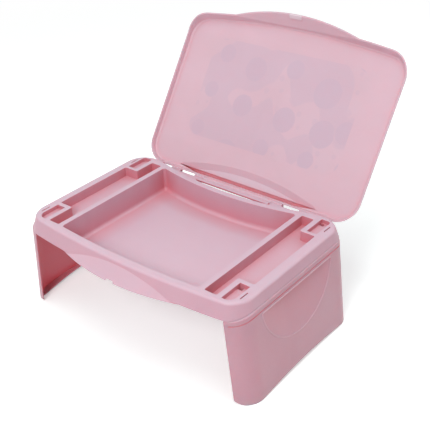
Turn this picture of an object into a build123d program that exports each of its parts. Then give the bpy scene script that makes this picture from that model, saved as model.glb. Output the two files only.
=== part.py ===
from build123d import *
from math import cos, radians, sqrt, tan
import os

# Lap desk with a lift lid and two fold-down legs, moulded in polypropylene.
# Millimetres, +X to the right of the person using it, +Y away from them, +Z up.
# Everything is drawn with the tray's rim at z = 0 and set on the floor at the end.

# ---- driving sizes ---------------------------------------------------------
wall = 2.4                 # moulded wall of every shell
rim_height = 178.0         # rim above the floor, legs down

# tray rim and skirt
skirt_half_width = 234.2   # at the bottom of the front skirt
skirt_front = 148.8        # front skirt at its corners, ahead of the middle
skirt_bow = 17.0           # how far the front bulges between the corners
skirt_rear = 146.0
skirt_corner = 44.5
skirt_depth = 26.0
side_skirt_depth = 18.0    # the side skirt is cut higher, above the legs
side_cut_front = 118.0
side_cut_rear = 112.0
side_cut_run = 32.0        # length of the slope at each end of the cut
side_cut_bend = 60.0       # radius where the slope begins
skirt_draft = 19.0         # degrees
rim_round = 6.0

# flared front lip for opening the lid
flare_half_width = 131.0
flare_bow = 22.0
flare_front = 179.0        # the lip's edge ahead of the middle
flare_depth = 28.0         # below the rim
flare_reach = 45.0         # how far its block runs back into the tray
flare_hollow_reach = 72.0  # its hollow runs on until it opens into the tray's own
flare_draft = 43.0         # degrees
notch_width = 13.0
notch_height = 2.6
notch_run = 12.0           # back from the lip's edge

# storage wells
well_margin = 86.9         # from the main well to the foot of the skirt
well_front = 137.0
well_front_bow = 7.0
well_rear = 117.0
well_rear_bow = 18.5
well_depth = 44.7
well_corner = 5.0
well_round = 7.0           # along the bottom
divider = 9.8
channel_width = 23.0
channel_front = 136.0
channel_rear = 119.0
channel_depth = 17.5
bay_margin = 25.2          # from the bay's outer wall to the foot of the skirt
bay_front = 84.2
bay_rear = 77.2
small_corner = 3.0
pocket_land = 9.4          # between channel and corner pocket
pocket_margin = 26.7       # from the pocket's outer wall to the foot of the skirt
pocket_front = 137.0
pocket_rear = 128.0
pocket_depth = 7.0
pocket_front_corner = 14.0
pocket_rear_corner = 6.0
front_partition = 8.0      # between bay and corner pocket
rear_partition = 6.4
slit_width = 1.8           # in the rim beside each pocket
slit_length = 18.0
slit_offset = 6.0          # from the pocket's outer wall
mouth_width = 8.0          # hole in the pocket floor over each socket
mouth_length = 6.6
socket_width = 13.5
socket_length = 13.0
socket_drop = 28.0         # bottom of the socket walls below the rim

# rear carrying handle and hinge line
rear_rim_width = 11.0
rear_cut_half_width = 166.0
handle_half_width = 77.0
ledge_drop = 10.5
ledge_rear = 139.2
ledge_depth = 14.0
bar_front = 128.0
bar_rear = 134.9
bar_drop = 8.0
bar_height = 2.6
bar_rib = 2.6
bar_rib_height = 6.0
inner_lug_outer = 98.0
outer_lug_inner = 133.0
outer_lug_outer = 147.0
end_lug_outer = 155.0

# lid
lid_angle = 124.8          # degrees open, resting back
lid_skirt = 9.0            # how far it hangs over the rim at the sides and rear
lid_front_skirt = 15.5
lid_cut_front = 112.0      # where the deeper front skirt starts
lid_cut_run = 34.0
lid_gap = 0.8              # between lid skirt and tray wall
rim_gap = 0.3              # between lid panel and rim
lid_round = 8.0
hinge_y = 147.0
hinge_drop = 15.7          # hinge axis below the rim
knuckle_radius = 4.2
hinge_pin_radius = 1.5
hinge_pin_length = 15.0
pin_clearance = 0.04       # radial
knuckle_gap = 0.5          # between neighbouring knuckles
web_set_down = 1.2         # of each tray knuckle's web below the top of its barrel
lid_flare_gap = 1.3
lid_flare_depth = 23.5     # the lid's lip stops short of the tray's
lid_flare_bow = 11.0
tab_width = 26.0
tab_height = 6.0
tab_thickness = 0.8
hump_half_width = 150.0
hump_front = 108.5
hump_bow = 22.0
hump_slope = 70.0          # degrees from upright
hump_run = 75.0            # how far back its block runs, past the trench
hump_height = 4.5
trench_half_width = 155.0  # at its pointed ends
trench_straight = 112.0    # half the length of its straight rear edge
trench_front = 133.3
trench_rear = 139.6
trench_height = 14.0
decal_width = 330.0
decal_depth = 190.0
decal_corner = 24.0
decal_thickness = 0.2
decal_y = -22.0

# legs
leg_set_in = 1.0           # outer face at the side skirt's edge, in from the skirt's foot
leg_splay = 6.0            # degrees
leg_front = 152.6
leg_rear = 140.5
leg_corner = 38.0
leg_flange = 31.0          # depth of the wrapped ends
leg_top_gap = 0.6          # under the side skirt
leg_fold = 91.0            # degrees
shoulder_round = 3.5       # along the top edge
shoulder_width = 7.0
shoulder_height = 5.0
lip_height = 7.4           # band above the groove
groove_height = 2.0
groove_depth = 1.1
foot_corner = 9.0
foot_arch = 8.0
foot_pad = 12.0            # flat length of each foot beyond its corner
leg_pivot_reach = 6.5      # from the socket's inner wall
leg_pivot_drop = 20.0
ear_radius = 6.0
ear_gap = 0.4
leg_pin_radius = 2.0
foot_flange = 12.0         # width of the flange along the foot, in its middle
foot_flange_end = 20.0     # and where it meets the wrapped ends
grip_radius = 92.0
grip_drop = 33.0           # upper edge of the finger scoop below the rim
grip_rise = 11.0           # centre of its arc above that edge
grip_depth = 7.5
grip_y = -8.0

# ---- values worked out from them -------------------------------------------
well_half_width = skirt_half_width - well_margin
channel_inner = well_half_width + divider
channel_outer = channel_inner + channel_width
pocket_inner = channel_outer + pocket_land
front_pocket_back = bay_front + front_partition
rear_pocket_front = bay_rear + rear_partition
front_socket = (-front_pocket_back - socket_length - 0.4, -front_pocket_back - 0.4)
rear_socket = (pocket_rear - 2.0 - socket_length, pocket_rear - 2.0)
bay_half_width = skirt_half_width - bay_margin
pocket_half_width = skirt_half_width - pocket_margin
leg_half_width = skirt_half_width - leg_set_in
leg_pivot_x = pocket_inner + leg_pivot_reach
leg_pivot = (leg_pivot_x, -leg_pivot_drop)
beyond = skirt_half_width * 1.4        # clear of every piece sideways
behind = skirt_rear + 30.0             # clear of the tray at the rear
below = -well_depth - 20.0             # clear of the tray underneath


# ---- shapes shared by several pieces ---------------------------------------
def box_between(x_from, x_to, y_from, y_to, z_from, z_to):
    size = Box(x_to - x_from, y_to - y_from, z_to - z_from)
    return Pos((x_from + x_to) / 2, (y_from + y_to) / 2, (z_from + z_to) / 2) * size


def cylinder_x(x_from, x_to, y, z, radius):
    tube = Rot(0, 90, 0) * Cylinder(radius, x_to - x_from)
    return Pos((x_from + x_to) / 2, y, z) * tube


def cylinder_y(y_from, y_to, x, z, radius):
    tube = Rot(90, 0, 0) * Cylinder(radius, y_to - y_from)
    return Pos(x, (y_from + y_to) / 2, z) * tube


def side_prism(outline, x_from, x_to):
    """Extrude a face drawn as (y, z) along x."""
    plane = Plane(origin=(x_from, 0, 0), x_dir=(0, 1, 0), z_dir=(1, 0, 0))
    return extrude(plane * outline, amount=x_to - x_from)


def front_prism(outline, y_from, y_to):
    """Extrude a face drawn as (x, z) along y."""
    plane = Plane(origin=(0, y_to, 0), x_dir=(1, 0, 0), z_dir=(0, -1, 0))
    return extrude(plane * outline, amount=y_to - y_from)


def mirrored(shape):
    return mirror(shape, about=Plane.YZ)


def both_sides(shape):
    return shape + mirrored(shape)


def round_bottom(block, radius):
    return fillet(block.edges().group_by(Axis.Z)[0], radius)


def bowed_plan(half_width, front, front_bow, rear, rear_bow, corner):
    """Straight sides, a front that bows outward and a rear that bows inward."""
    front_edge = ThreePointArc(
        (-half_width, -front), (0, -front - front_bow), (half_width, -front)
    )
    if rear_bow > 0:
        rear_edge = ThreePointArc(
            (half_width, rear), (0, rear - rear_bow), (-half_width, rear)
        )
    else:
        rear_edge = Line((half_width, rear), (-half_width, rear))
    left = Line((-half_width, rear), (-half_width, -front))
    right = Line((half_width, -front), (half_width, rear))
    face = make_face([left, front_edge, right, rear_edge])
    return fillet(face.vertices(), corner)


def tray_block(bottom, top, grow, edge_round, hollow=False):
    """The tray's drafted outer form between two heights, grown sideways.

    A hollow has its top edge cut flat where the outer form is rounded.
    """
    inset = (bottom + skirt_depth) * tan(radians(skirt_draft)) - grow
    face = bowed_plan(
        skirt_half_width - inset,
        skirt_front - inset,
        skirt_bow,
        skirt_rear - inset,
        0,
        skirt_corner - inset,
    )
    block = extrude(Pos(0, 0, bottom) * face, amount=top - bottom, taper=skirt_draft)
    top_edges = block.edges().group_by(Axis.Z)[-1]
    if hollow:
        half_turn = radians(90 - skirt_draft) / 2
        return chamfer(top_edges, edge_round * tan(half_turn / 2) / cos(half_turn))
    return fillet(top_edges, edge_round)


def arc_block(front, half_width, bow, back, bottom, top, inset, slope):
    """A block whose bowed front leans back as it rises."""
    radius = (half_width**2 + bow**2) / (2 * bow)
    centre_y = front + radius
    radius = radius - inset
    half = sqrt(radius**2 - (centre_y - back) ** 2)
    face = make_face([
        ThreePointArc((-half, back), (0, centre_y - radius), (half, back)),
        Line((half, back), (-half, back)),
    ])
    return extrude(Pos(0, 0, bottom) * face, amount=top - bottom, taper=slope)


def flare_block(bottom, top, grow, bow, reach_back):
    """The flared front lip: a shallow arc in plan that draws in as it rises."""
    inset = (bottom + flare_depth) * tan(radians(flare_draft)) - grow
    back = -flare_front + bow + reach_back
    return arc_block(-flare_front, flare_half_width, bow, back, bottom, top, inset, flare_draft)


def hump_block(bottom, top, grow):
    """The rise in the lid over the hand hole, growing towards the rear."""
    inset = (bottom - rim_gap) * tan(radians(hump_slope)) - grow
    return arc_block(
        hump_front, hump_half_width, hump_bow, hump_front + hump_run, bottom, top, inset, hump_slope
    )


def side_cut_outline(shift, bottom):
    """Region under the side skirt's lower edge, as (y, z), its two bends rounded."""
    low = -skirt_depth - shift
    high = -side_skirt_depth - shift
    front_bend = (-side_cut_front, high)
    rear_bend = (side_cut_rear, high)
    face = make_face(Polyline(
        (-side_cut_front - side_cut_run, low), front_bend, rear_bend,
        (side_cut_rear + side_cut_run, low), (side_cut_rear + side_cut_run, bottom),
        (-side_cut_front - side_cut_run, bottom), close=True,
    ))
    bends = [face.vertices().sort_by_distance((*bend, 0))[0] for bend in (front_bend, rear_bend)]
    return fillet(bends, side_cut_bend)


# ---- tray ------------------------------------------------------------------
def main_well_plan(grow):
    return bowed_plan(
        well_half_width + grow,
        well_front + grow,
        well_front_bow,
        well_rear + grow,
        well_rear_bow,
        well_corner + grow,
    )


def main_well(grow, top):
    block = extrude(Pos(0, 0, -well_depth - grow) * main_well_plan(grow), amount=top + well_depth + grow)
    return round_bottom(block, well_round + grow)


def side_well(grow, top):
    """Pencil channel and the wide bay that opens off it, right-hand side."""
    channel = box_between(
        channel_inner - grow, channel_outer + grow,
        -channel_front - grow, channel_rear + grow,
        -channel_depth - grow, top,
    )
    bay = box_between(
        channel_outer - 1, bay_half_width + grow,
        -bay_front - grow, bay_rear + grow,
        -channel_depth - grow, top,
    )
    block = channel + bay
    upright = block.edges().filter_by(Axis.Z)
    return fillet(upright, small_corner)


def pocket(y_from, y_to, outer_y, corner, grow, top):
    """Shallow corner pocket whose outer corner follows the rim."""
    x_from = pocket_inner - grow
    x_to = pocket_half_width + grow
    size = Rectangle(x_to - x_from, y_to - y_from)
    face = Pos((x_from + x_to) / 2, (y_from + y_to) / 2) * size
    outer = face.vertices().sort_by_distance((x_to, outer_y, 0))[0]
    face = fillet([outer], corner + grow)
    height = top + pocket_depth + grow
    return extrude(Pos(0, 0, -pocket_depth - grow) * face, amount=height)


def pockets(grow, top):
    front = pocket(
        -pocket_front - grow, -front_pocket_back + grow, -pocket_front - grow,
        pocket_front_corner, grow, top,
    )
    rear = pocket(
        rear_pocket_front - grow, pocket_rear + grow, pocket_rear + grow,
        pocket_rear_corner, grow, top,
    )
    return front + rear


def rear_cut(bottom, top, grow):
    """Open region behind the bowed rear rim."""
    front = well_rear - well_rear_bow + rear_rim_width
    half_width = well_half_width
    radius = (half_width**2 + well_rear_bow**2) / (2 * well_rear_bow)
    centre_y = front + radius
    reach = rear_cut_half_width + grow
    side_y = centre_y - sqrt((radius + grow) ** 2 - reach**2)
    face = make_face([
        ThreePointArc((-reach, side_y), (0, front - grow), (reach, side_y)),
        Line((reach, side_y), (reach, behind)),
        Line((reach, behind), (-reach, behind)),
        Line((-reach, behind), (-reach, side_y)),
    ])
    return extrude(Pos(0, 0, bottom) * face, amount=top - bottom)


def socket_walls(y_from, y_to):
    return box_between(
        pocket_inner - wall, pocket_inner + socket_width,
        y_from - wall, y_to + wall,
        -socket_drop, -pocket_depth - wall / 2,
    )


def socket_hole(y_from, y_to):
    """Hole through the pocket floor, open outward and below for the leg's arm."""
    arm_room = box_between(
        pocket_inner, pocket_inner + socket_width + wall * 2,
        y_from, y_to, -socket_drop - wall, -pocket_depth - wall,
    )
    mouth = box_between(
        pocket_inner, pocket_inner + mouth_width,
        y_to - mouth_length, y_to, -pocket_depth - wall * 2, 0,
    )
    fold_room = box_between(
        pocket_inner - wall * 2, pocket_inner + wall,
        y_from, y_to, -socket_drop - wall, -channel_depth - wall,
    )
    return arm_room + mouth + fold_room


def slit(y_middle):
    x = pocket_half_width + slit_offset
    return box_between(
        x - slit_width / 2, x + slit_width / 2,
        y_middle - slit_length / 2, y_middle + slit_length / 2,
        -wall * 2, 1,
    )


def make_ledge():
    """Ledge behind the rear rim, open underneath, on the right-hand side."""
    inner = handle_half_width
    outer = rear_cut_half_width + wall / 2
    front = well_rear - well_rear_bow + rear_rim_width
    solid = box_between(
        inner, outer, front, ledge_rear, -ledge_drop - ledge_depth, -ledge_drop
    )
    hollow = box_between(
        inner + wall, outer, front - 1, ledge_rear - wall,
        -ledge_drop - ledge_depth - 1, -ledge_drop - wall,
    )
    return (solid - hollow) & rear_cut(below, 0, wall / 2)


def tray_lug(x_from, x_to):
    """Hinge knuckle on a web from the ledge's rear wall."""
    barrel = cylinder_x(x_from, x_to, hinge_y, -hinge_drop, knuckle_radius)
    web = box_between(
        x_from, x_to, ledge_rear - wall, hinge_y,
        -hinge_drop - knuckle_radius, -hinge_drop + knuckle_radius - web_set_down,
    )
    return barrel + web


def make_tray():
    outer = tray_block(-skirt_depth, 0, 0, rim_round)
    outer = outer + flare_block(-flare_depth, -1, 0, flare_bow, flare_reach)
    hollow = tray_block(-skirt_depth - 1, -wall, -wall, rim_round - wall, hollow=True)
    hollow = hollow + flare_block(-flare_depth - 1, -1 - wall, -wall, flare_bow, flare_hollow_reach)
    shell = outer - hollow

    cut = side_prism(side_cut_outline(0, below), -beyond, beyond)
    shell = shell - cut
    shell = shell + (rear_cut(-skirt_depth, 0, wall) & tray_block(-skirt_depth, 0, 0, rim_round))

    wells = main_well(wall, 0) + both_sides(side_well(wall, 0) + pockets(wall, 0))
    sockets = socket_walls(*front_socket) + socket_walls(*rear_socket)
    tray = shell + wells + both_sides(sockets)

    tray = tray - rear_cut(below, rim_round, 0)
    tray = tray - main_well(0, 1)
    openings = side_well(0, 1) + pockets(0, 1)
    openings = openings + socket_hole(*front_socket) + socket_hole(*rear_socket)
    front_slit_y = -(front_pocket_back + pocket_front) / 2
    rear_slit_y = (rear_pocket_front + pocket_rear) / 2
    openings = openings + slit(front_slit_y) + slit(rear_slit_y)
    tray = tray - openings - mirrored(openings)

    lugs = tray_lug(handle_half_width + knuckle_gap / 2, inner_lug_outer)
    lugs = lugs + tray_lug(outer_lug_inner, outer_lug_outer)
    tray = tray + both_sides(make_ledge() + lugs)
    bar = box_between(
        -handle_half_width - 1, handle_half_width + 1,
        bar_front, bar_rear, -bar_drop - bar_height, -bar_drop,
    )
    rib = box_between(
        -handle_half_width - 1, handle_half_width + 1,
        bar_rear - bar_rib, bar_rear, -bar_drop - bar_rib_height, -bar_drop - bar_height / 2,
    )
    tray = tray + bar + rib
    ends = box_between(
        handle_half_width, handle_half_width + wall, bar_front, bar_rear,
        -ledge_drop - 1, -bar_drop,
    )
    tray = tray + both_sides(ends)
    notch = make_face(Polyline(
        (-notch_width / 2 - notch_height, -flare_depth - 1),
        (-notch_width / 2, -flare_depth + notch_height),
        (notch_width / 2, -flare_depth + notch_height),
        (notch_width / 2 + notch_height, -flare_depth - 1),
        close=True,
    ))
    tray = tray - front_prism(notch, -flare_front - 1, -flare_front + notch_run)

    hinge_holes = cylinder_x(
        handle_half_width - 1, end_lug_outer + 1, hinge_y, -hinge_drop,
        hinge_pin_radius + pin_clearance,
    )
    leg_hole = cylinder_y(
        front_socket[0] - wall - 1, front_socket[1] + wall + 1, *leg_pivot,
        leg_pin_radius + pin_clearance,
    ) + cylinder_y(
        rear_socket[0] - wall - 1, rear_socket[1] + wall + 1, *leg_pivot,
        leg_pin_radius + pin_clearance,
    )
    return tray - both_sides(hinge_holes + leg_hole)


# ---- lid, drawn shut -------------------------------------------------------
def lid_lip(bottom, top, grow, below):
    """The lid's own lip: a flatter arc whose lower edge rises into the front skirt."""
    block = flare_block(bottom, top, grow, lid_flare_bow, flare_reach)
    edge = make_face([
        ThreePointArc(
            (-flare_half_width, -lid_front_skirt - below), (0, -lid_flare_depth - below),
            (flare_half_width, -lid_front_skirt - below),
        ),
        Polyline(
            (flare_half_width, -lid_front_skirt - below), (flare_half_width, 0),
            (-flare_half_width, 0), (-flare_half_width, -lid_front_skirt - below),
        ),
    ])
    return block & front_prism(edge, -flare_front - 20, 0)


def hump_limits(grow):
    reach = hump_half_width + grow
    return box_between(
        -reach, reach, hump_front - hump_bow, trench_front + 0.01, 0, hump_height + grow
    )


def trench_plan(grow):
    """A long slot in the lid over the carrying bar, drawn out to a point at each end."""
    front = trench_front - grow
    reach = trench_half_width + grow
    return make_face(Polyline(
        (-reach, front), (reach, front), (reach, trench_front + grow),
        (trench_straight, trench_rear + grow), (-trench_straight, trench_rear + grow),
        (-reach, trench_front + grow), close=True,
    ) if grow else Polyline(
        (-reach, front), (reach, front), (trench_straight, trench_rear),
        (-trench_straight, trench_rear), close=True,
    ))


def make_lid():
    top = rim_gap + wall
    outer = tray_block(-lid_front_skirt, top, lid_gap + wall, lid_round)
    side_cut = make_face(Polyline(
        (-lid_cut_front - lid_cut_run, -lid_front_skirt), (-lid_cut_front, -lid_skirt),
        (behind, -lid_skirt), (behind, -lid_front_skirt - 10),
        (-lid_cut_front - lid_cut_run, -lid_front_skirt - 10), close=True,
    ))
    outer = outer - side_prism(side_cut, -beyond, beyond)
    outer = outer + lid_lip(-lid_flare_depth, -0.5, lid_flare_gap + wall, 0)
    inner = tray_block(-lid_flare_depth - 1, rim_gap, lid_gap, rim_round, hollow=True)
    inner = inner + lid_lip(-lid_flare_depth - 1, -0.5 - wall, lid_flare_gap, 1)

    hump_top = rim_gap + hump_height
    hump_outer = hump_block(rim_gap, hump_top, wall * 2.2) & hump_limits(wall)
    hump_inner = hump_block(rim_gap - 0.5, hump_top, 0) & hump_limits(0)
    trench_outer = extrude(Pos(0, 0, -2) * trench_plan(wall), amount=trench_height + wall + 2)
    trench_inner = extrude(
        Pos(0, 0, -lid_skirt / 2) * trench_plan(0), amount=trench_height + lid_skirt / 2
    )
    lid = (outer + hump_outer + trench_outer) - inner - hump_inner - trench_inner

    tab_top = -lid_flare_depth + tab_height
    tab = flare_block(-lid_flare_depth, tab_top, lid_flare_gap + 0.2, lid_flare_bow, flare_reach)
    tab = tab - flare_block(
        -lid_flare_depth - 1, tab_top + 1, lid_flare_gap - tab_thickness, lid_flare_bow, flare_reach
    )
    tab = tab & box_between(
        -tab_width / 2, tab_width / 2, -flare_front - 20, -flare_front + 20,
        -lid_flare_depth, tab_top,
    )
    return lid + tab + lid_knuckles()


def lid_knuckle(x_from, x_to):
    """Knuckle with the arm that joins it to the lid's rear skirt."""
    rear_at_lip = skirt_rear - (skirt_depth - lid_skirt) * tan(radians(skirt_draft)) + lid_gap
    arm = make_face(Polyline(
        (rear_at_lip + 0.1, -lid_skirt + 1.5),
        (rear_at_lip + wall, -lid_skirt + 1.5),
        (hinge_y + knuckle_radius * 0.8, -hinge_drop + knuckle_radius * 0.5),
        (hinge_y - knuckle_radius * 0.7, -hinge_drop + knuckle_radius * 0.7),
        close=True,
    ))
    barrel = cylinder_x(x_from, x_to, hinge_y, -hinge_drop, knuckle_radius)
    bore = cylinder_x(
        x_from - 1, x_to + 1, hinge_y, -hinge_drop, hinge_pin_radius + pin_clearance
    )
    return barrel + side_prism(arm, x_from, x_to) - bore


def lid_knuckles():
    middle = handle_half_width - knuckle_gap / 2
    ends = lid_knuckle(outer_lug_outer + knuckle_gap, end_lug_outer)
    return lid_knuckle(-middle, middle) + both_sides(ends)


def make_decal():
    film = Box(decal_width, decal_depth, decal_thickness)
    film = fillet(film.edges().filter_by(Axis.Z), decal_corner)
    return Pos(0, decal_y, rim_gap + wall + decal_thickness / 2) * film


def opened(shape):
    """Swing a piece of the lid from shut to its resting angle."""
    to_axis = Pos(0, hinge_y, -hinge_drop)
    from_axis = Pos(0, -hinge_y, hinge_drop)
    return to_axis * Rot(-lid_angle, 0, 0) * from_axis * shape


# ---- legs ------------------------------------------------------------------
def leg_section(inset, reach):
    """Plan of the leg's outer surface drawn about x = 0, set in by an inset."""
    width = leg_corner * 3
    height = leg_front + leg_rear - 2 * inset
    middle = (leg_rear - leg_front) / 2
    face = Pos(-width / 2 - inset, middle) * Rectangle(width, height)
    corners = face.vertices().sort_by(Axis.X)[-2:]
    face = fillet(corners, leg_corner - inset)
    return face & (Pos(-reach / 2 + 5, middle) * Rectangle(reach + 10, height + 10))


def leg_column(section):
    """Extrude a leg section down along the splayed side."""
    column = extrude(Pos(0, 0, -rim_height) * section, amount=rim_height + 30)
    splayed = Rot(0, -leg_splay, 0) * column
    return Pos(leg_half_width, 0, -side_skirt_depth) * splayed


def leg_side_outline(inset=0.0, top=0.0):
    """Side view of a leg as (y, z): top edge under the skirt, rounded feet, arched between."""
    high = -side_skirt_depth - leg_top_gap + top
    slope = (skirt_depth - side_skirt_depth) / side_cut_run
    floor = -rim_height + inset
    front = -leg_front + inset
    rear = leg_rear - inset
    front_bend = (-side_cut_front, high)
    rear_bend = (side_cut_rear, high)
    front_top = high - slope * (-side_cut_front - front)
    rear_top = high - slope * (rear - side_cut_rear)
    arch_front = front + foot_corner + foot_pad
    arch_rear = rear - foot_corner - foot_pad
    face = make_face([
        Polyline(
            (front, floor), (front, front_top), front_bend, rear_bend, (rear, rear_top), (rear, floor)
        ),
        Line((rear, floor), (arch_rear, floor)),
        ThreePointArc(
            (arch_rear, floor), ((arch_front + arch_rear) / 2, floor + foot_arch), (arch_front, floor)
        ),
        Line((arch_front, floor), (front, floor)),
    ])
    bends = [face.vertices().sort_by_distance((*bend, 0))[0] for bend in (front_bend, rear_bend)]
    face = fillet(bends, side_cut_bend)
    feet = [face.vertices().sort_by_distance((y, floor, 0))[0] for y in (front, rear)]
    return fillet(feet, foot_corner - inset)


def leg_groove():
    """Band cut into the outer face under the leg's top lip."""
    ring = leg_section(-5, leg_flange + 20) - leg_section(groove_depth, leg_flange + 40)
    lip = leg_top_gap + lip_height
    band = side_prism(side_cut_outline(lip, -rim_height), 0, beyond)
    band = band - side_prism(
        side_cut_outline(lip + groove_height, -rim_height - 5), -1, beyond + 1
    )
    return leg_column(ring) & band


def splayed(shape):
    """Set a shape drawn against the face x = 0 onto the leaning outer face."""
    return Pos(leg_half_width, 0, -side_skirt_depth) * Rot(0, -leg_splay, 0) * shape


def grip_scoop(grow):
    """Spherical scoop that is deepest at its upper edge."""
    radius = (grip_radius**2 + grip_depth**2) / (2 * grip_depth)
    ball = Pos(radius - grip_depth, grip_y, side_skirt_depth - grip_drop + grip_rise)
    ball = ball * Sphere(radius + grow)
    edge = side_skirt_depth - grip_drop + grow
    limits = box_between(
        -grip_depth - grow - 1, 5, grip_y - grip_radius - 40, grip_y + grip_radius + 40,
        edge - grip_radius * 2, edge,
    )
    return splayed(ball & limits)


def leg_ear(y_from, y_to):
    """Arm that carries the leg on its pin."""
    x, z = leg_pivot
    gap_y = (y_from + ear_gap, y_to - ear_gap)
    face_x = leg_half_width
    arm = make_face(Polyline(
        (x, z + ear_radius), (face_x - 12.0, z - 2.5), (face_x - 1.0, z - 5.0),
        (face_x, z - 16.0), (x, z - ear_radius), close=True,
    ))
    eye = cylinder_y(*gap_y, x, z, ear_radius)
    return eye + front_prism(arm, *gap_y)


def foot_flange_room():
    """Room inside the foot's flange, which is widest where it meets the wrapped ends."""
    foot_x = leg_half_width + (rim_height - side_skirt_depth) * tan(radians(leg_splay))
    inner = foot_x - foot_flange_end
    front = -leg_front + wall * 1.5
    rear = leg_rear - wall * 1.5
    back = inner - leg_flange
    face = make_face([
        ThreePointArc((inner, front), (foot_x - foot_flange, (front + rear) / 2), (inner, rear)),
        Polyline((inner, rear), (back, rear), (back, front), (inner, front)),
    ])
    room = extrude(Pos(0, 0, -rim_height - 1) * face, amount=foot_arch + wall + 4)
    return room & leg_column(leg_section(wall, leg_flange + 20))


def shoulder_edges(block):
    """Edges of the leg's top that run along its outer face."""
    inner = leg_half_width - leg_flange + wall
    top = block.edges().filter_by(lambda edge: edge.center().Z > -skirt_depth - wall)
    lengthwise = top.filter_by(lambda edge: abs(edge.position_at(0).Y - edge.position_at(1).Y) > 1)
    return lengthwise.filter_by(lambda edge: edge.center().X > inner)


def leg_hollow():
    """Inside of the pan, narrower at the top, where the shoulder is thick."""
    inner_section = leg_section(wall, leg_flange + 20)
    pan = leg_column(inner_section) & side_prism(
        leg_side_outline(wall, -shoulder_height), 0, beyond
    )
    mouth_section = leg_section(shoulder_width, leg_flange + 20)
    mouth = leg_column(mouth_section) & side_prism(leg_side_outline(wall, skirt_depth), 0, beyond)
    return pan + mouth


def make_leg():
    """Right-hand leg, folded down: a shallow pan, open inward and at the top."""
    outer = leg_column(leg_section(0, leg_flange)) & side_prism(leg_side_outline(), 0, beyond)
    outer = fillet(shoulder_edges(outer), shoulder_round)
    leg = outer - leg_hollow() - foot_flange_room()
    backing = grip_scoop(wall)
    leg = leg + (backing & leg_column(leg_section(wall / 2, leg_flange)))
    leg = leg - grip_scoop(0) - leg_groove()
    ears = leg_ear(*front_socket) + leg_ear(*rear_socket)
    leg = leg + (ears & leg_column(leg_section(wall / 2, leg_corner * 2)))
    bores = cylinder_y(
        front_socket[0] - 2, rear_socket[1] + 2, *leg_pivot, leg_pin_radius + pin_clearance
    )
    return leg - bores


# ---- pins ------------------------------------------------------------------
def make_hinge_pins():
    half = hinge_pin_length / 2
    pins = []
    for x in (handle_half_width, outer_lug_outer):
        for side in (-1, 1):
            pin = cylinder_x(x * side - half, x * side + half, hinge_y, -hinge_drop, hinge_pin_radius)
            pins.append(pin)
    return Compound(children=pins)


def make_leg_pins():
    pins = []
    x, z = leg_pivot
    for y_from, y_to in (front_socket, rear_socket):
        for side in (-1, 1):
            pin = cylinder_y(y_from - wall, y_to + wall, x * side, z, leg_pin_radius)
            pins.append(pin)
    return Compound(children=pins)


# ---- assembly --------------------------------------------------------------
right_leg = make_leg()
pieces = {
    "tray": make_tray(),
    "lid": opened(make_lid()),
    "lid_print": opened(make_decal()),
    "right_leg": right_leg,
    "left_leg": mirrored(right_leg),
    "hinge_pins": make_hinge_pins(),
    "leg_pins": make_leg_pins(),
}

boxes = [piece.bounding_box() for piece in pieces.values()]
front = min(box.min.Y for box in boxes)
rear = max(box.max.Y for box in boxes)
floor = min(box.min.Z for box in boxes)
shift = Pos(0, -(front + rear) / 2, -floor)

os.makedirs("parts", exist_ok=True)
for name, piece in pieces.items():
    placed = shift * piece
    export_step(placed, f"parts/{name}.step")
    size = placed.bounding_box()
    print(name, [round(v, 2) for v in (*size.min, *size.max)], round(placed.volume))

width = max(box.max.X for box in boxes) - min(box.min.X for box in boxes)
height = max(box.max.Z for box in boxes) - floor
leg_pin_y = (front_socket[0] + rear_socket[1]) / 2
print("size", round(width, 3), round(rear - front, 3), round(height, 3))
print("lid hinge", 0, round(hinge_y + shift.position.Y, 3), round(-floor - hinge_drop, 3))
print("leg hinge", leg_pivot_x, round(leg_pin_y + shift.position.Y, 3), round(-floor - leg_pivot_drop, 3))
print("folds", leg_fold, "lid opens", lid_angle)
print("well floor", round(-floor - well_depth, 3), "shift", round(shift.position.Y, 3))
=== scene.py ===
from math import asin, cos, pi, radians, sin

import bmesh
import bpy
from mathutils import Matrix, Vector


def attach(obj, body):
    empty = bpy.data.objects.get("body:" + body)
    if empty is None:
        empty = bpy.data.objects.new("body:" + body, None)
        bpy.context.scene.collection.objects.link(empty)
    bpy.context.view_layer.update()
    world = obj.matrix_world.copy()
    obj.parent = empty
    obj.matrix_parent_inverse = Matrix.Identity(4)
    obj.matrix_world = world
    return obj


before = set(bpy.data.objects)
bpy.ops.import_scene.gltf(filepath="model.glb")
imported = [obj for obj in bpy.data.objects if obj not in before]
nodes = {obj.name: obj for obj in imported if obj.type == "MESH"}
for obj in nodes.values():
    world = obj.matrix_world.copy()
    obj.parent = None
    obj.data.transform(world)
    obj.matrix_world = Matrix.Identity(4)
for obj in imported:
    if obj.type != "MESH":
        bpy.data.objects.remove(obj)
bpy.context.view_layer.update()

print("frame loaded:", sorted(nodes))


camera = {
    "place": (0.7674, -0.90644, 0.8479),
    "azimuth": 40.516,      # degrees, 0 looks along +Y
    "elevation": 32.785,
    "roll": -2.726,
    "lens": 65.95,
    "shift": (0.00753, 0.0699),
    "sensor": 36,
    "clip": (0.05, 50),
}


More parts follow.
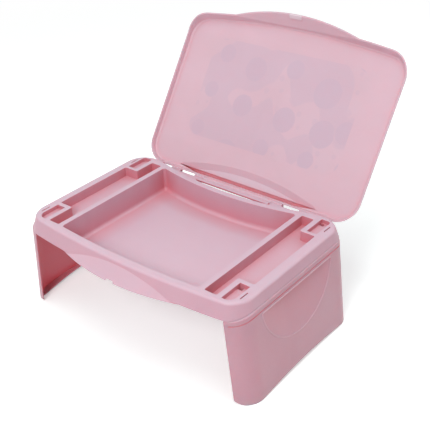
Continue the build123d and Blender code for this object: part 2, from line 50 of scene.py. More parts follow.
def addCamera(spec):
    az, el, roll = (radians(spec[k]) for k in ("azimuth", "elevation", "roll"))
    look = Vector((-sin(az) * cos(el), cos(az) * cos(el), -sin(el)))
    right = look.cross(Vector((0, 0, 1))).normalized()
    up = right.cross(look)
    rolledRight = cos(roll) * right + sin(roll) * up
    rolledUp = cos(roll) * up - sin(roll) * right
    turn = Matrix((rolledRight, rolledUp, -look)).transposed().to_4x4()
    data = bpy.data.cameras.new("camera")
    data.lens = spec["lens"]
    data.sensor_width = spec["sensor"]
    data.sensor_fit = "HORIZONTAL"
    data.shift_x, data.shift_y = spec["shift"]
    data.clip_start, data.clip_end = spec["clip"]
    cam = bpy.data.objects.new("camera", data)
    bpy.context.scene.collection.objects.link(cam)
    cam.matrix_world = Matrix.Translation(spec["place"]) @ turn
    bpy.context.scene.camera = cam


addCamera(camera)
print("camera placed")


# node and link shorthand: inputs that are (node, socket) pairs are linked, the rest are set
def place(tree, kind, inputs=None, **settings):
    node = tree.nodes.new(kind)
    for key, value in settings.items():
        setattr(node, key, value)
    for key, value in (inputs or {}).items():
        feed(tree, node, key, value)
    return node


def feed(tree, node, key, value):
    socket = node.inputs[key]
    if isinstance(value, tuple) and value and isinstance(value[0], bpy.types.Node):
        tree.links.new(value[0].outputs[value[1]], socket)
    elif isinstance(value, (tuple, list)) and len(value) == 3 and len(socket.default_value) == 4:
        socket.default_value = (*value, 1)
    else:
        socket.default_value = value


def reckon(tree, operation, a, b=0.0, clamp=False):
    node = place(tree, "ShaderNodeMath", {0: a, 1: b}, operation=operation, use_clamp=clamp)
    return node, 0


def blendColour(tree, mask, a, b):
    node = place(tree, "ShaderNodeMix", data_type="RGBA")
    feed(tree, node, 0, mask)
    feed(tree, node, 6, a)
    feed(tree, node, 7, b)
    return node, 2


def spread(tree, value, low, high, toLow=0.0, toHigh=1.0, smooth=False):
    node = place(tree, "ShaderNodeMapRange", {
        "Value": value, "From Min": low, "From Max": high, "To Min": toLow, "To Max": toHigh,
    })
    if smooth:
        node.interpolation_type = "SMOOTHSTEP"
    return node, 0


socketKinds = {
    "value": "NodeSocketFloat",
    "vector": "NodeSocketVector",
    "colour": "NodeSocketColor",
    "mesh": "NodeSocketGeometry",
}


def newGroup(name, inputs, outputs, kind="ShaderNodeTree"):
    group = bpy.data.node_groups.new(name, kind)
    for label, what, start in inputs:
        kindOf = socketKinds[what]
        socket = group.interface.new_socket(name=label, in_out="INPUT", socket_type=kindOf)
        if start is not None:
            socket.default_value = (*start, 1) if what == "colour" else start
    for label, what in outputs:
        group.interface.new_socket(name=label, in_out="OUTPUT", socket_type=socketKinds[what])
    start = group.nodes.new("NodeGroupInput")
    end = group.nodes.new("NodeGroupOutput")
    return group, start, end


def useGroup(tree, group, **values):
    node = place(tree, "ShaderNodeGroup", node_tree=group)
    for key, value in values.items():
        feed(tree, node, key, value)
    return node


# satin texture of a moulding tool, as a height and as a faint speckle
def mouldGrainGroup():
    group, start, end = newGroup(
        "mouldGrain",
        [("Vector", "vector", None), ("Fineness", "value", 900.0), ("Coarse Share", "value", 0.4)],
        [("Height", "value"), ("Speckle", "value")],
    )
    finer = reckon(group, "MULTIPLY", (start, "Fineness"), 2.6)
    broad = place(group, "ShaderNodeTexNoise", {
        "Vector": (start, "Vector"), "Scale": (start, "Fineness"), "Detail": 2.0, "Roughness": 0.6,
    })
    fine = place(group, "ShaderNodeTexNoise", {
        "Vector": (start, "Vector"), "Scale": finer, "Detail": 1.0, "Roughness": 0.5,
    })
    pits = place(group, "ShaderNodeTexVoronoi", {
        "Vector": (start, "Vector"), "Scale": finer, "Randomness": 1.0,
    })
    pit = spread(group, (pits, "Distance"), 0.0, 0.6)
    mix = place(group, "ShaderNodeMix", {0: (start, "Coarse Share"), 2: (fine, 0), 3: (broad, 0)})
    height = reckon(group, "ADD", (mix, 0), reckon(group, "MULTIPLY", pit, 0.35))
    feed(group, end, "Height", height)
    feed(group, end, "Speckle", spread(group, (broad, 0), 0.35, 0.65))
    return group


# slow drift of tint and polish across a moulding, with drawn-out flow streaks
def flowTintGroup():
    group, start, end = newGroup(
        "flowTint",
        [("Vector", "vector", None), ("Scale", "value", 7.0),
         ("Pale", "colour", (0.8, 0.5, 0.55)), ("Deep", "colour", (0.7, 0.4, 0.45))],
        [("Colour", "colour"), ("Cloud", "value")],
    )
    cloud = place(group, "ShaderNodeTexNoise", {
        "Vector": (start, "Vector"), "Scale": (start, "Scale"), "Detail": 3.0,
        "Roughness": 0.55, "Distortion": 0.8,
    })
    drawn = place(group, "ShaderNodeMapping", {
        "Vector": (start, "Vector"), "Scale": (1.0, 5.0, 1.4),
    })
    streak = place(group, "ShaderNodeTexNoise", {
        "Vector": (drawn, 0), "Scale": (start, "Scale"), "Detail": 4.0, "Distortion": 0.3,
    })
    both = place(group, "ShaderNodeMix", {0: 0.4, 2: (cloud, 0), 3: (streak, 0)})
    drift = spread(group, (both, 0), 0.36, 0.64, smooth=True)
    feed(group, end, "Colour", blendColour(group, drift, (start, "Deep"), (start, "Pale")))
    feed(group, end, "Cloud", drift)
    return group


# small rounding on every hard edge, and where those edges are
def softEdgeGroup():
    group, start, end = newGroup(
        "softEdge", [("Radius", "value", 0.0006)], [("Normal", "vector"), ("Edge", "value")],
    )
    bevel = place(group, "ShaderNodeBevel", {"Radius": (start, "Radius")}, samples=6)
    plain = place(group, "ShaderNodeNewGeometry")
    meet = place(group, "ShaderNodeVectorMath", {0: (bevel, 0), 1: (plain, "Normal")},
                 operation="DOT_PRODUCT")
    feed(group, end, "Normal", (bevel, 0))
    feed(group, end, "Edge", spread(group, (meet, "Value"), 0.995, 0.8))
    return group


# how far a spot sits inside a corner or cavity of its own piece, the mask for painted shade there
def creaseShadeGroup():
    group, start, end = newGroup(
        "creaseShade", [("Reach", "value", 0.02), ("Bite", "value", 1.0)], [("Mask", "value")],
    )
    shade = place(group, "ShaderNodeAmbientOcclusion", {"Distance": (start, "Reach")},
                  samples=8, only_local=True)
    closed = reckon(group, "SUBTRACT", 1.0, (shade, "AO"), clamp=True)
    feed(group, end, "Mask", reckon(group, "POWER", closed, (start, "Bite"), clamp=True))
    return group


# rubbed marks, strongest on edges and near the floor
def scuffGroup():
    group, start, end = newGroup(
        "scuff",
        [("Vector", "vector", None), ("Edge", "value", 0.0), ("Amount", "value", 0.3),
         ("Floor Band", "value", 0.012)],
        [("Mask", "value"), ("Dust", "value")],
    )
    patch = place(group, "ShaderNodeTexNoise", {
        "Vector": (start, "Vector"), "Scale": 45.0, "Detail": 5.0, "Roughness": 0.7,
    })
    hair = place(group, "ShaderNodeMapping", {
        "Vector": (start, "Vector"), "Scale": (1.0, 0.12, 1.0), "Rotation": (0.3, 0.2, 0.7),
    })
    lines = place(group, "ShaderNodeTexNoise", {
        "Vector": (hair, 0), "Scale": 420.0, "Detail": 2.0,
    })
    worn = reckon(group, "MULTIPLY", spread(group, (patch, 0), 0.48, 0.7), (start, "Edge"))
    scored = reckon(group, "MULTIPLY", spread(group, (lines, 0), 0.66, 0.74),
                    spread(group, (patch, 0), 0.5, 0.75))
    both = reckon(group, "ADD", worn, reckon(group, "MULTIPLY", scored, 0.4), clamp=True)
    feed(group, end, "Mask", reckon(group, "MULTIPLY", both, (start, "Amount")))
    split = place(group, "ShaderNodeSeparateXYZ", {0: (start, "Vector")})
    low = spread(group, (split, "Z"), 0.0, (start, "Floor Band"), 1.0, 0.0)
    patchy = spread(group, (patch, 0), 0.3, 0.7)
    feed(group, end, "Dust", reckon(group, "MULTIPLY", low, patchy))
    return group


# the printed field: sizes in metres on the panel, disc sizes as shares of a cell
printArt = {
    "halfWidth": 0.165,
    "halfDepth": 0.095,
    "corner": 0.024,
    "discs": 13.0,              # cells in a metre
    "discSize": 0.38,
    "discSoft": 0.04,
    "dotsPerDisc": 2.7,         # how much finer the cells of the dots are
    "dotSize": 0.26,
    "dotSoft": 0.05,
    "smallest": 0.55,           # share of the full size that the smallest ones have
    "patchScale": 11.0,
    "inks": [
        (0.42, 0.62, 0.66), (0.58, 0.44, 0.68), (0.82, 0.60, 0.42), (0.78, 0.42, 0.50),
        (0.80, 0.72, 0.46),
    ],
    "ring": (0.9, 0.85, 0.88),
    "ringShare": 0.35,
    "ground": (0.66, 0.58, 0.72),
    "patch": (0.50, 0.56, 0.74),
    "patchShare": 0.7,
    "dotShare": 0.8,
}


# soft discs and dots in pastel inks, kept to a rounded field in the plane of the panel
def plainPrintGroup(spec):
    group, start, end = newGroup(
        "plainPrint",
        [("Vector", "vector", None), ("Half Width", "value", spec["halfWidth"]),
         ("Half Depth", "value", spec["halfDepth"]), ("Corner", "value", spec["corner"]),
         ("Discs", "value", spec["discs"])],
        [("Colour", "colour"), ("Ink", "value"), ("Field", "value")],
    )
    inks = spec["inks"]

    def layer(scale, size, soft):
        cells = place(group, "ShaderNodeTexVoronoi", {
            "Vector": (start, "Vector"), "Scale": scale, "Randomness": 0.5,
        }, voronoi_dimensions="2D")
        pick = place(group, "ShaderNodeSeparateColor", {0: (cells, "Color")})
        draw = spread(group, (pick, "Green"), 0.0, 1.0, spec["smallest"], 1.0)
        width = reckon(group, "MULTIPLY", draw, size)
        over = reckon(group, "SUBTRACT", width, (cells, "Distance"))
        disc = spread(group, over, 0.0, soft, smooth=True)
        ramp = place(group, "ShaderNodeValToRGB", {0: (pick, "Red")})
        ramp.color_ramp.interpolation = "CONSTANT"
        while len(ramp.color_ramp.elements) < len(inks):
            ramp.color_ramp.elements.new(0.5)
        for k, (element, tint) in enumerate(zip(ramp.color_ramp.elements, inks)):
            element.position, element.color = k / len(inks), (*tint, 1)
        return disc, (ramp, 0), over

    size = spec["discSize"]
    bigDisc, bigInk, over = layer((start, "Discs"), size, spec["discSoft"])
    ring = spread(group, reckon(group, "PINGPONG", over, size * 0.28), size * 0.1, size * 0.14)
    smaller = reckon(group, "MULTIPLY", (start, "Discs"), spec["dotsPerDisc"])
    dot, dotInk = layer(smaller, spec["dotSize"], spec["dotSoft"])[:2]
    patches = place(group, "ShaderNodeTexNoise", {
        "Vector": (start, "Vector"), "Scale": spec["patchScale"], "Detail": 0.5,
        "Distortion": 0.4,
    }, noise_dimensions="2D")
    patch = spread(group, (patches, 0), 0.47, 0.50, smooth=True)
    pale = reckon(group, "MULTIPLY", ring, spec["ringShare"])
    ringed = blendColour(group, pale, bigInk, spec["ring"])
    under = reckon(group, "MULTIPLY", patch, spec["patchShare"])
    colour = blendColour(group, under, spec["ground"], spec["patch"])
    dotted = reckon(group, "MULTIPLY", dot, spec["dotShare"])
    colour = blendColour(group, dotted, colour, dotInk)
    colour = blendColour(group, bigDisc, colour, ringed)

    split = place(group, "ShaderNodeSeparateXYZ", {0: (start, "Vector")})
    inner = []
    for axis, half in (("X", "Half Width"), ("Y", "Half Depth")):
        room = reckon(group, "SUBTRACT", (start, half), (start, "Corner"))
        past = reckon(group, "SUBTRACT", reckon(group, "ABSOLUTE", (split, axis)), room)
        inner.append(reckon(group, "MAXIMUM", past, 0.0))
    spot = place(group, "ShaderNodeCombineXYZ", {0: inner[0], 1: inner[1]})
    far = place(group, "ShaderNodeVectorMath", {0: (spot, 0)}, operation="LENGTH")
    slack = reckon(group, "SUBTRACT", (start, "Corner"), (far, "Value"))
    field = spread(group, slack, 0.0, 0.001)
    ink = reckon(group, "MAXIMUM", reckon(group, "MULTIPLY", patch, 0.6),
                 reckon(group, "MULTIPLY", dot, 0.4))
    ink = reckon(group, "MAXIMUM", ink, bigDisc)
    feed(group, end, "Colour", colour)
    feed(group, end, "Ink", reckon(group, "MULTIPLY", ink, field))
    feed(group, end, "Field", field)
    return group


mouldGrain = mouldGrainGroup()
flowTint = flowTintGroup()
softEdge = softEdgeGroup()
creaseShade = creaseShadeGroup()
scuff = scuffGroup()
plainPrint = plainPrintGroup(printArt)
print("shader groups built")


# where the lid's hinge row and its print lie, in metres
lidPlace = {
    "hinge": (0.0, 0.068962, 0.1623),
    "open": 124.8,                       # degrees
    "printMiddle": (0.0, -0.100038),     # across the shut panel
}


# puts a spot of the open lid into the flat plane of the shut lid, centred on the print
def lidPlane(tree, coords):
    turn = radians(lidPlace["open"])
    hinge = Vector(lidPlace["hinge"])
    back = hinge - Matrix.Rotation(turn, 3, "X") @ hinge
    middle = Vector((*lidPlace["printMiddle"], 0))
    node = place(tree, "ShaderNodeMapping", {
        "Vector": (coords, "Object"), "Location": tuple(back - middle), "Rotation": (turn, 0, 0),
    })
    return node, 0


def newMaterial(name):
    mat = bpy.data.materials.new(name)
    mat.use_nodes = True
    tree = mat.node_tree
    skin = tree.nodes["Principled BSDF"]
    coords = place(tree, "ShaderNodeTexCoord")
    return mat, tree, skin, coords


def dress(name, mat):
    mesh = nodes[name].data
    mesh.materials.clear()
    mesh.materials.append(mat)


# the finger scoop of each leg, the raised bead round it, and the painted shade in its dish
scoopBead = {
    "radius": 0.0928,
    "middle": (0.2332, -0.086038, 0.160),   # foot of the side skirt, level with the scoop's middle
    "drop": 0.004,                         # from there down to the centre of the arc
    "topEdge": 0.011,                      # below the centre of the arc
    "topRun": 0.0102,                      # the bead's straight run, below that centre
    "corner": 0.006,
    "splay": 6.0,                          # degrees
    "width": 0.0023,
    "height": 0.0011,
    "steps": 96,
    "ringSteps": 12,
    "dishShade": (0.0915, 0.0905),              # radii where the painted shade of the dish starts and is full
    "dishShadeTop": 0.0003,                     # half the softness of its straight edge
    "dishShadeFade": (0.08, 0.004),             # below that edge, where the painted shade is weakest and full
    "dishShadeLeast": 0.15,
}


shellTray = {
    "pale": (0.63, 0.375, 0.455),
    "deep": (0.60, 0.35, 0.43),
    "tintScale": 6.0,               # clouds of tint in a metre
    "paintedSheen": (0.68, 0.55, 0.64),    # painted sheen: paler where it faces up, standing in for light from above
    "paintedSheenShare": 0.6,
    "paintedSheenTurn": (0.3, 0.95),       # upward share of the normal where the painted sheen starts and is full
    # painted shade: the darker, redder colour that corners and cavities take, with how far and how
    # hard it reaches
    "creaseShade": (0.66, 0.15, 0.18),
    "creaseShadeShare": 0.9,
    "reach": 0.045,
    "bite": 0.85,
    "roughness": 0.40,
    "drift": (0.04, -0.03),         # added to the roughness, from deep tint to pale
    "rubRoughness": 0.25,           # added where it is rubbed
    "grain": 0.10,
    "edge": 0.0007,
    "scuff": 0.25,
    "bleed": 0.35,          # subsurface weight
    "bleedScale": 0.005,
    "bleedRadius": (1.0, 0.3, 0.33),
    "fleck": (0.86, 0.66, 0.70),
    "fleckShare": 0.05,
    "rub": (0.88, 0.70, 0.74),
    "dustShare": 0.35,
    "grainDepth": 0.0004,
    "ior": 1.49,
}
# painted light: the lid's pink is paler than the tray's, as if more brightly lit
shellLidLit = dict(shellTray, pale=(0.68, 0.475, 0.55), deep=(0.655, 0.45, 0.52), paintedSheenShare=0.0,
                creaseShade=(0.80, 0.15, 0.19), reach=0.013, bite=1.25, ghost=(0.54, 0.41, 0.52),
                ghostShare=0.5)
# painted shade: the legs' pink is darker and redder than the tray's, for sides turned away from the
# lamps
shellLegShaded = dict(shellTray, pale=(0.58, 0.32, 0.39), deep=(0.555, 0.30, 0.365), paintedSheenShare=0.3,
                creaseShade=(0.88, 0.16, 0.19), reach=0.09, bite=0.85, dust=(0.62, 0.52, 0.50),
                bleed=0.6, bleedScale=0.012, bleedRadius=(1.0, 0.15, 0.17),
                # painted shade in each leg's finger scoop
                scoop=(0.64, 0.28, 0.35), scoopShare=0.55,
                # painted shade on the faces that look inward, darker and redder
                inner=(0.80, 0.20, 0.25), innerShadeShare=0.65, innerShadeTurn=(-0.05, -0.18))
# the bead takes the legs' painted shade, a little paler
shellBead = dict(shellLegShaded, pale=(0.62, 0.35, 0.42), deep=(0.61, 0.34, 0.41), bleed=0.0)
del shellBead["scoop"]      # the bead stands round the dish, so it has none of the dish's painted shade


# painted shade in the dished D on a leg's side, strongest under its straight top edge, where the
# lip shades it
def scoopMask(tree, spot):
    across, level = scoopBead["middle"][1], scoopBead["middle"][2] - scoopBead["drop"]
    split = place(tree, "ShaderNodeSeparateXYZ", {0: spot})
    flat = place(tree, "ShaderNodeCombineXYZ", {
        0: reckon(tree, "SUBTRACT", (split, "Y"), across),
        1: reckon(tree, "SUBTRACT", (split, "Z"), level),
    })
    far = place(tree, "ShaderNodeVectorMath", {0: (flat, 0)}, operation="LENGTH")
    within = spread(tree, (far, "Value"), *scoopBead["dishShade"])
    top, soft = level - scoopBead["topEdge"], scoopBead["dishShadeTop"]
    beneath = spread(tree, (split, "Z"), top + soft, top - soft)
    low, high = (top - drop for drop in scoopBead["dishShadeFade"])
    fade = spread(tree, (split, "Z"), low, high, scoopBead["dishShadeLeast"], 1.0, smooth=True)
    return reckon(tree, "MULTIPLY", reckon(tree, "MULTIPLY", within, beneath), fade)


def makeShell(name, spec):
    mat, tree, skin, coords = newMaterial(name)
    spot = (coords, "Object")
    tint = useGroup(tree, flowTint, Vector=spot, Scale=spec["tintScale"], Pale=spec["pale"],
                    Deep=spec["deep"])
    edge = useGroup(tree, softEdge, Radius=spec["edge"])
    corner = useGroup(tree, creaseShade, Reach=spec["reach"], Bite=spec["bite"])
    grain = useGroup(tree, mouldGrain, Vector=spot)
    rub = useGroup(tree, scuff, Vector=spot, Edge=(edge, "Edge"), Amount=spec["scuff"])
    colour = (tint, "Colour")
    if "ghost" in spec:
        behind = useGroup(tree, plainPrint, Vector=lidPlane(tree, coords))
        shade = reckon(tree, "MULTIPLY", (behind, "Ink"), spec["ghostShare"])
        colour = blendColour(tree, shade, colour, spec["ghost"])
    # painted shade: the dish of each leg's finger scoop turns darker and redder under its top edge
    if "scoop" in spec:
        scoopShadeAmount = reckon(tree, "MULTIPLY", scoopMask(tree, spot), spec["scoopShare"])
        colour = blendColour(tree, scoopShadeAmount, colour, spec["scoop"])
    facing = place(tree, "ShaderNodeSeparateXYZ", {0: (coords, "Normal")})
    # painted shade: faces that look in towards the middle turn darker and redder
    if "inner" in spec:
        side = place(tree, "ShaderNodeSeparateXYZ", {0: spot})
        outward = reckon(tree, "MULTIPLY", (facing, "X"), (side, "X"))
        innerShadeAmount = spread(tree, outward, *spec["innerShadeTurn"], 0.0, spec["innerShadeShare"], smooth=True)
        colour = blendColour(tree, innerShadeAmount, colour, spec["inner"])
    # painted sheen: faces that look up turn paler
    up = spread(tree, (facing, "Z"), *spec["paintedSheenTurn"], 0.0, spec["paintedSheenShare"], smooth=True)
    colour = blendColour(tree, up, colour, spec["paintedSheen"])
    # painted shade: corners and cavities turn darker and redder
    creaseShadeAmount = reckon(tree, "MULTIPLY", (corner, "Mask"), spec["creaseShadeShare"])
    colour = blendColour(tree, creaseShadeAmount, colour, spec["creaseShade"])
    fleck = spread(tree, (grain, "Speckle"), 0.0, 1.0, 0.0, spec["fleckShare"])
    colour = blendColour(tree, fleck, colour, spec["fleck"])
    colour = blendColour(tree, (rub, "Mask"), colour, spec["rub"])
    if "dust" in spec:
        dusty = reckon(tree, "MULTIPLY", (rub, "Dust"), spec["dustShare"])
        colour = blendColour(tree, dusty, colour, spec["dust"])
    feed(tree, skin, "Base Color", colour)
    dull, bright = (spec["roughness"] + change for change in spec["drift"])
    satin = spread(tree, (tint, "Cloud"), 0.0, 1.0, dull, bright)
    worn = reckon(tree, "MULTIPLY", (rub, "Mask"), spec["rubRoughness"])
    satin = reckon(tree, "ADD", satin, worn)
    feed(tree, skin, "Roughness", satin)
    bump = place(tree, "ShaderNodeBump", {
        "Strength": spec["grain"], "Distance": spec["grainDepth"], "Height": (grain, "Height"),
        "Normal": (edge, "Normal"),
    })
    feed(tree, skin, "Normal", (bump, 0))
    skin.inputs["Subsurface Weight"].default_value = spec["bleed"]
    skin.inputs["Subsurface Radius"].default_value = spec["bleedRadius"]
    skin.inputs["Subsurface Scale"].default_value = spec["bleedScale"]
    skin.inputs["IOR"].default_value = spec["ior"]
    return mat


trayMaterial = makeShell("shellTray", shellTray)
lidMaterial = makeShell("shellLidLit", shellLidLit)
legMaterial = makeShell("shellLegShaded", shellLegShaded)
beadMaterial = makeShell("shellBead", shellBead)
dress("tray", trayMaterial)
dress("lid", lidMaterial)
dress("left_leg", legMaterial)
dress("right_leg", legMaterial)


printFilm = {
    "wash": 0.75,
    "paper": (0.80, 0.66, 0.76),
    "roughness": 0.3,
    "rubRoughness": 0.5,
    "fineness": 2200.0,
    "edge": 0.0001,
    "scuff": 0.2,
    "fleck": (0.9, 0.86, 0.88),
    "fleckShare": 0.06,
    "grain": 0.05,
    "grainDepth": 0.0002,
}


def makeFilm(spec):
    mat, tree, skin, coords = newMaterial("printFilm")
    spot = (coords, "Object")
    art = useGroup(tree, plainPrint, Vector=lidPlane(tree, coords))
    grain = useGroup(tree, mouldGrain, Vector=spot, Fineness=spec["fineness"])
    edge = useGroup(tree, softEdge, Radius=spec["edge"])
    rub = useGroup(tree, scuff, Vector=spot, Edge=(edge, "Edge"), Amount=spec["scuff"])
    wash = reckon(tree, "MULTIPLY", (art, "Field"), spec["wash"])
    colour = blendColour(tree, wash, spec["paper"], (art, "Colour"))
    fleck = spread(tree, (grain, "Speckle"), 0.0, 1.0, 0.0, spec["fleckShare"])
    colour = blendColour(tree, fleck, colour, spec["fleck"])
    feed(tree, skin, "Base Color", colour)
    worn = reckon(tree, "MULTIPLY", (rub, "Mask"), spec["rubRoughness"])
    satin = reckon(tree, "ADD", spec["roughness"], worn)
    feed(tree, skin, "Roughness", satin)
    bump = place(tree, "ShaderNodeBump", {
        "Strength": spec["grain"], "Distance": spec["grainDepth"], "Height": (grain, "Height"),
        "Normal": (edge, "Normal"),
    })
    feed(tree, skin, "Normal", (bump, 0))
    return mat


dress("lid_print", makeFilm(printFilm))


wireSteel = {
    "bright": (0.66, 0.66, 0.68),
    "dull": (0.50, 0.50, 0.52),
    "roughness": (0.26, 0.40),
    "lines": 1500.0,
    "stretch": 0.02,            # scale along the wire: the lines come out fifty times as long
    "edge": 0.0003,
    "scuff": 0.6,
    "grain": 0.2,
    "grainDepth": 0.0001,
}


# drawn wire: fine lines run along it, which is X for the hinge pins and Y for the leg pins
def makeWire(name, spec, axis):
    mat, tree, skin, coords = newMaterial(name)
    scale = [1.0, 1.0, 1.0]
    scale[axis] = spec["stretch"]
    drawn = place(tree, "ShaderNodeMapping", {"Vector": (coords, "Object"), "Scale": scale})
    lines = place(tree, "ShaderNodeTexNoise", {
        "Vector": (drawn, 0), "Scale": spec["lines"], "Detail": 2.0,
    })
    edge = useGroup(tree, softEdge, Radius=spec["edge"])
    rub = useGroup(tree, scuff, Vector=(coords, "Object"), Edge=(edge, "Edge"),
                   Amount=spec["scuff"])
    share = spread(tree, (lines, 0), 0.35, 0.65)
    colour = blendColour(tree, share, spec["dull"], spec["bright"])
    feed(tree, skin, "Base Color", colour)
    rough = spread(tree, (lines, 0), 0.3, 0.7, *spec["roughness"])
    feed(tree, skin, "Roughness", reckon(tree, "ADD", rough, (rub, "Mask"), clamp=True))
    bump = place(tree, "ShaderNodeBump", {
        "Strength": spec["grain"], "Distance": spec["grainDepth"], "Height": (lines, 0),
        "Normal": (edge, "Normal"),
    })
    feed(tree, skin, "Normal", (bump, 0))
    skin.inputs["Metallic"].default_value = 1.0
    return mat


dress("hinge_pins", makeWire("wireSteelAcross", wireSteel, 0))
dress("leg_pins", makeWire("wireSteelAlong", wireSteel, 1))
print("finishes ready")


def beadTree(material):
    group, start, end = newGroup(
        "scoopBead",
        [("Radius", "value", 0.09), ("Start", "value", pi), ("Sweep", "value", pi),
         ("Width", "value", 0.0016), ("Height", "value", 0.0007), ("Corner", "value", 0.006),
         ("Place", "vector", (0, 0, 0)), ("Lean", "value", 0.0), ("Drop", "value", 0.0)],
        [("Mesh", "mesh")], kind="GeometryNodeTree",
    )
    arc = place(group, "GeometryNodeCurveArc", {
        "Radius": (start, "Radius"), "Start Angle": (start, "Start"),
        "Sweep Angle": (start, "Sweep"),
    }, mode="RADIUS")
    arc.inputs["Resolution"].default_value = scoopBead["steps"]
    closed = place(group, "GeometryNodeSetSplineCyclic", {
        "Geometry": (arc, "Curve"), "Cyclic": True,
    })
    index = place(group, "GeometryNodeInputIndex")
    first = reckon(group, "LESS_THAN", (index, 0), 0.5)
    last = reckon(group, "GREATER_THAN", (index, 0), scoopBead["steps"] - 1.5)
    turn = reckon(group, "MULTIPLY", reckon(group, "ADD", first, last), (start, "Corner"))
    eased = place(group, "GeometryNodeFilletCurve", {
        "Curve": (closed, 0), "Radius": turn, "Count": 8, "Limit Radius": True,
    }, mode="POLY")
    ring = place(group, "GeometryNodeCurvePrimitiveCircle", {"Radius": 1.0}, mode="RADIUS")
    ring.inputs["Resolution"].default_value = scoopBead["ringSteps"]
    flat = place(group, "ShaderNodeCombineXYZ", {0: (start, "Width"), 1: (start, "Height"), 2: 1.0})
    halved = place(group, "ShaderNodeVectorMath", {0: (flat, 0), 1: (0.5, 1.0, 1.0)},
                   operation="MULTIPLY")
    section = place(group, "GeometryNodeTransform", {
        "Geometry": (ring, "Curve"), "Scale": (halved, 0),
    })
    sweep = place(group, "GeometryNodeCurveToMesh", {
        "Curve": (eased, 0), "Profile Curve": (section, "Geometry"),
    })
    upright = place(group, "GeometryNodeTransform", {
        "Geometry": (sweep, "Mesh"), "Rotation": (pi / 2, 0, pi / 2),
    })
    down = place(group, "ShaderNodeCombineXYZ", {2: (start, "Drop")})
    lowered = place(group, "GeometryNodeTransform", {
        "Geometry": (upright, "Geometry"), "Translation": (down, 0),
    })
    lean = place(group, "ShaderNodeCombineXYZ", {1: (start, "Lean")})
    leant = place(group, "GeometryNodeTransform", {
        "Geometry": (lowered, "Geometry"), "Translation": (start, "Place"), "Rotation": (lean, 0),
    })
    smooth = place(group, "GeometryNodeSetShadeSmooth", {"Geometry": (leant, "Geometry")})
    real = place(group, "GeometryNodeRealizeInstances", {"Geometry": (smooth, "Geometry")})
    paint = place(group, "GeometryNodeSetMaterial", {"Geometry": (real, 0), "Material": material})
    feed(group, end, "Mesh", (paint, "Geometry"))
    return group


# gives a Geometry Nodes tree its sizes and leaves a plain mesh
def growPiece(name, group, values):
    seed = bpy.data.objects.new(name, bpy.data.meshes.new(name))
    bpy.context.scene.collection.objects.link(seed)
    grow = seed.modifiers.new("grow", "NODES")
    grow.node_group = group
    for item in group.interface.items_tree:
        if item.in_out == "INPUT" and item.name in values:
            grow[item.identifier] = values[item.name]
    view = bpy.context.evaluated_depsgraph_get()
    mesh = bpy.data.meshes.new_from_object(seed.evaluated_get(view))
    seed.modifiers.remove(grow)
    seed.data = mesh
    mesh.name = name
    return seed


def addBeads(spec):
    tree = beadTree(beadMaterial)
    tilt = asin(spec["topRun"] / spec["radius"])
    for side, body in ((1, "right_leg"), (-1, "left_leg")):
        x, y, z = spec["middle"]
        piece = growPiece(f"scoop_bead_{body}", tree, {
            "Radius": spec["radius"], "Start": pi + tilt, "Sweep": pi - 2 * tilt,
            "Width": spec["width"], "Height": spec["height"], "Corner": spec["corner"],
            "Place": (x * side, y, z), "Lean": -radians(spec["splay"]) * side,
            "Drop": -spec["drop"],
        })
        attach(piece, body)
        print(piece.name, len(piece.data.polygons), "faces")


addBeads(scoopBead)


# pale catch on the edge of the lid's lip, drawn on the shut lid and then turned open with it
lipCatch = {
    "halfWidth": 0.0132,
    "corner": 0.0014,
    "bowRadius": 0.78,          # the lip's own bow
    "section": [                # y and z on the shut lid
        (-0.2560, 0.15478), (-0.2560, 0.15425), (-0.25332, 0.15425), (-0.24932, 0.15855),
        (-0.24968, 0.15893), (-0.25338, 0.15478),
    ],
    "pale": (0.74, 0.60, 0.66),
    "deepShare": 0.96,
    "tintScale": 60.0,
    "roughness": (0.32, 0.38),
    "scuff": 0.3,
    "edge": 0.0003,
    "rub": (0.8, 0.7, 0.74),
    "grain": 0.08,
    "grainDepth": 0.0003,
    "steps": 14,
    "endShrink": 0.25,          # how much smaller the section is at its two ends
}


def makeCatchPlastic(spec):
    mat, tree, skin, coords = newMaterial("shellCatch")
    spot = (coords, "Object")
    grain = useGroup(tree, mouldGrain, Vector=spot)
    edge = useGroup(tree, softEdge, Radius=spec["edge"])
    rub = useGroup(tree, scuff, Vector=spot, Edge=(edge, "Edge"), Amount=spec["scuff"])
    deep = tuple(v * spec["deepShare"] for v in spec["pale"])
    tint = useGroup(tree, flowTint, Vector=spot, Scale=spec["tintScale"], Pale=spec["pale"],
                    Deep=deep)
    colour = blendColour(tree, (rub, "Mask"), (tint, "Colour"), spec["rub"])
    feed(tree, skin, "Base Color", colour)
    satin = spread(tree, (grain, "Speckle"), 0.0, 1.0, *spec["roughness"])
    feed(tree, skin, "Roughness", satin)
    bump = place(tree, "ShaderNodeBump", {
        "Strength": spec["grain"], "Distance": spec["grainDepth"], "Height": (grain, "Height"),
        "Normal": (edge, "Normal"),
    })
    feed(tree, skin, "Normal", (bump, 0))
    return mat


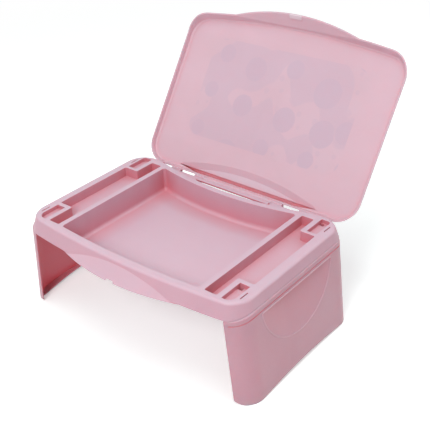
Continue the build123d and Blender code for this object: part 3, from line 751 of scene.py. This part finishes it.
def addCatch(spec):
    build = bmesh.new()
    hinge = Vector(lidPlace["hinge"])
    opened = Matrix.Rotation(-radians(lidPlace["open"]), 3, "X")
    middleY = sum(y for y, z in spec["section"]) / len(spec["section"])
    middleZ = sum(z for y, z in spec["section"]) / len(spec["section"])
    rings = []
    for step in range(spec["steps"] + 1):
        x = spec["halfWidth"] * (2 * step / spec["steps"] - 1)
        short = max(0.0, abs(x) - spec["halfWidth"] + spec["corner"]) / spec["corner"]
        shrink = 1 - spec["endShrink"] * short * short
        ring = []
        for y, z in spec["section"]:
            bent = y + x * x / (2 * spec["bowRadius"])
            across = middleY + (bent - middleY) * shrink
            level = middleZ + (z - middleZ) * shrink
            shut = Vector((x, across, level))
            ring.append(build.verts.new(opened @ (shut - hinge) + hinge))
        rings.append(ring)
    count = len(spec["section"])
    for a, b in zip(rings, rings[1:]):
        for k in range(count):
            build.faces.new((a[k], a[(k + 1) % count], b[(k + 1) % count], b[k]))
    build.faces.new(rings[0])
    build.faces.new(rings[-1])
    bmesh.ops.recalc_face_normals(build, faces=build.faces)
    mesh = bpy.data.meshes.new("lip_catch")
    build.to_mesh(mesh)
    build.free()
    mesh.materials.append(makeCatchPlastic(spec))
    piece = bpy.data.objects.new("lip_catch", mesh)
    bpy.context.scene.collection.objects.link(piece)
    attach(piece, "lid")


addCatch(lipCatch)
print("catch added to the lid's lip")


studio = {
    "world": (1.0, 0.99, 0.985),
    "worldStrength": 0.42,
    "floorHalf": 6.0,
    "floor": (0.75, 0.75, 0.75),
    "floorSeen": (0.94, 1.0, 0.99),     # the same floor, as the camera sees it
    "floorGlow": 0.34,                  # added to it near the object
    "floorFade": (0.7, 2.2),            # metres over which it turns into plain white
    "lamps": [
        # name, place, size, watts, aim
        ("keyLamp", (0.6, -2.2, 1.9), 1.1, 35.0, (0, 0, 0.1)),
        ("overheadLamp", (0.0, -0.2, 2.3), 1.6, 12.0, (0, 0, 0.1)),
        ("backLamp", (1.0, 1.8, 1.9), 1.5, 13.0, (0.1, 0.2, 0.0)),
        ("fillLamp", (-1.9, -0.9, 1.1), 1.3, 2.5, (0, 0, 0.15)),
    ],
}


# the rays that see the white room: the camera's, and those by way of gloss or glass
def seenRays(tree):
    path = place(tree, "ShaderNodeLightPath")
    shine = reckon(tree, "MAXIMUM", (path, "Is Camera Ray"), (path, "Is Transmission Ray"))
    return reckon(tree, "MAXIMUM", shine, (path, "Is Glossy Ray"))


def addWorld(spec):
    world = bpy.data.worlds.new("studio")
    bpy.context.scene.world = world
    world.use_nodes = True
    tree = world.node_tree
    tree.nodes.clear()
    lit = place(tree, "ShaderNodeBackground", {
        "Color": spec["world"], "Strength": spec["worldStrength"],
    })
    white = place(tree, "ShaderNodeBackground", {"Color": (1, 1, 1), "Strength": 1.0})
    mix = place(tree, "ShaderNodeMixShader", {0: seenRays(tree), 1: (lit, 0), 2: (white, 0)})
    place(tree, "ShaderNodeOutputWorld", {"Surface": (mix, 0)})


def addLamps(spec):
    for name, spot, size, watts, aim in spec["lamps"]:
        data = bpy.data.lights.new(name, "AREA")
        data.shape = "DISK"
        data.size = size
        data.energy = watts
        lamp = bpy.data.objects.new(name, data)
        bpy.context.scene.collection.objects.link(lamp)
        turn = (Vector(spot) - Vector(aim)).to_track_quat("Z", "Y").to_matrix().to_4x4()
        lamp.matrix_world = Matrix.Translation(spot) @ turn


def addFloor(spec):
    half = spec["floorHalf"]
    corners = [(-half, -half, 0), (half, -half, 0), (half, half, 0), (-half, half, 0)]
    mesh = bpy.data.meshes.new("floor")
    mesh.from_pydata(corners, [], [(0, 1, 2, 3)])
    floor = bpy.data.objects.new("floor", mesh)
    bpy.context.scene.collection.objects.link(floor)
    paint = bpy.data.materials.new("floorPaint")
    paint.use_nodes = True
    tree = paint.node_tree
    matte = tree.nodes["Principled BSDF"]
    feed(tree, matte, "Base Color", spec["floor"])
    matte.inputs["Roughness"].default_value = 0.9
    matte.inputs["Specular IOR Level"].default_value = 0.1
    seen = place(tree, "ShaderNodeBsdfDiffuse", {"Color": spec["floorSeen"]})
    coords = place(tree, "ShaderNodeTexCoord")
    away = place(tree, "ShaderNodeVectorMath", {0: (coords, "Object")}, operation="LENGTH")
    rise = spread(tree, (away, "Value"), *spec["floorFade"], 0.0, 1.0, smooth=True)
    glow = place(tree, "ShaderNodeEmission", {
        "Color": (1, 1, 1), "Strength": spec["floorGlow"],
    })
    white = place(tree, "ShaderNodeEmission", {"Color": (1, 1, 1), "Strength": 1.0})
    pale = place(tree, "ShaderNodeAddShader", {0: (seen, 0), 1: (glow, 0)})
    far = place(tree, "ShaderNodeMixShader", {0: rise, 1: (pale, 0), 2: (white, 0)})
    both = place(tree, "ShaderNodeMixShader", {0: seenRays(tree), 1: (matte, 0), 2: (far, 0)})
    feed(tree, tree.nodes["Material Output"], "Surface", (both, 0))
    mesh.materials.append(paint)


addWorld(studio)
addLamps(studio)
addFloor(studio)
bpy.context.scene.view_settings.view_transform = "Standard"
print("lamps, world and floor ready")
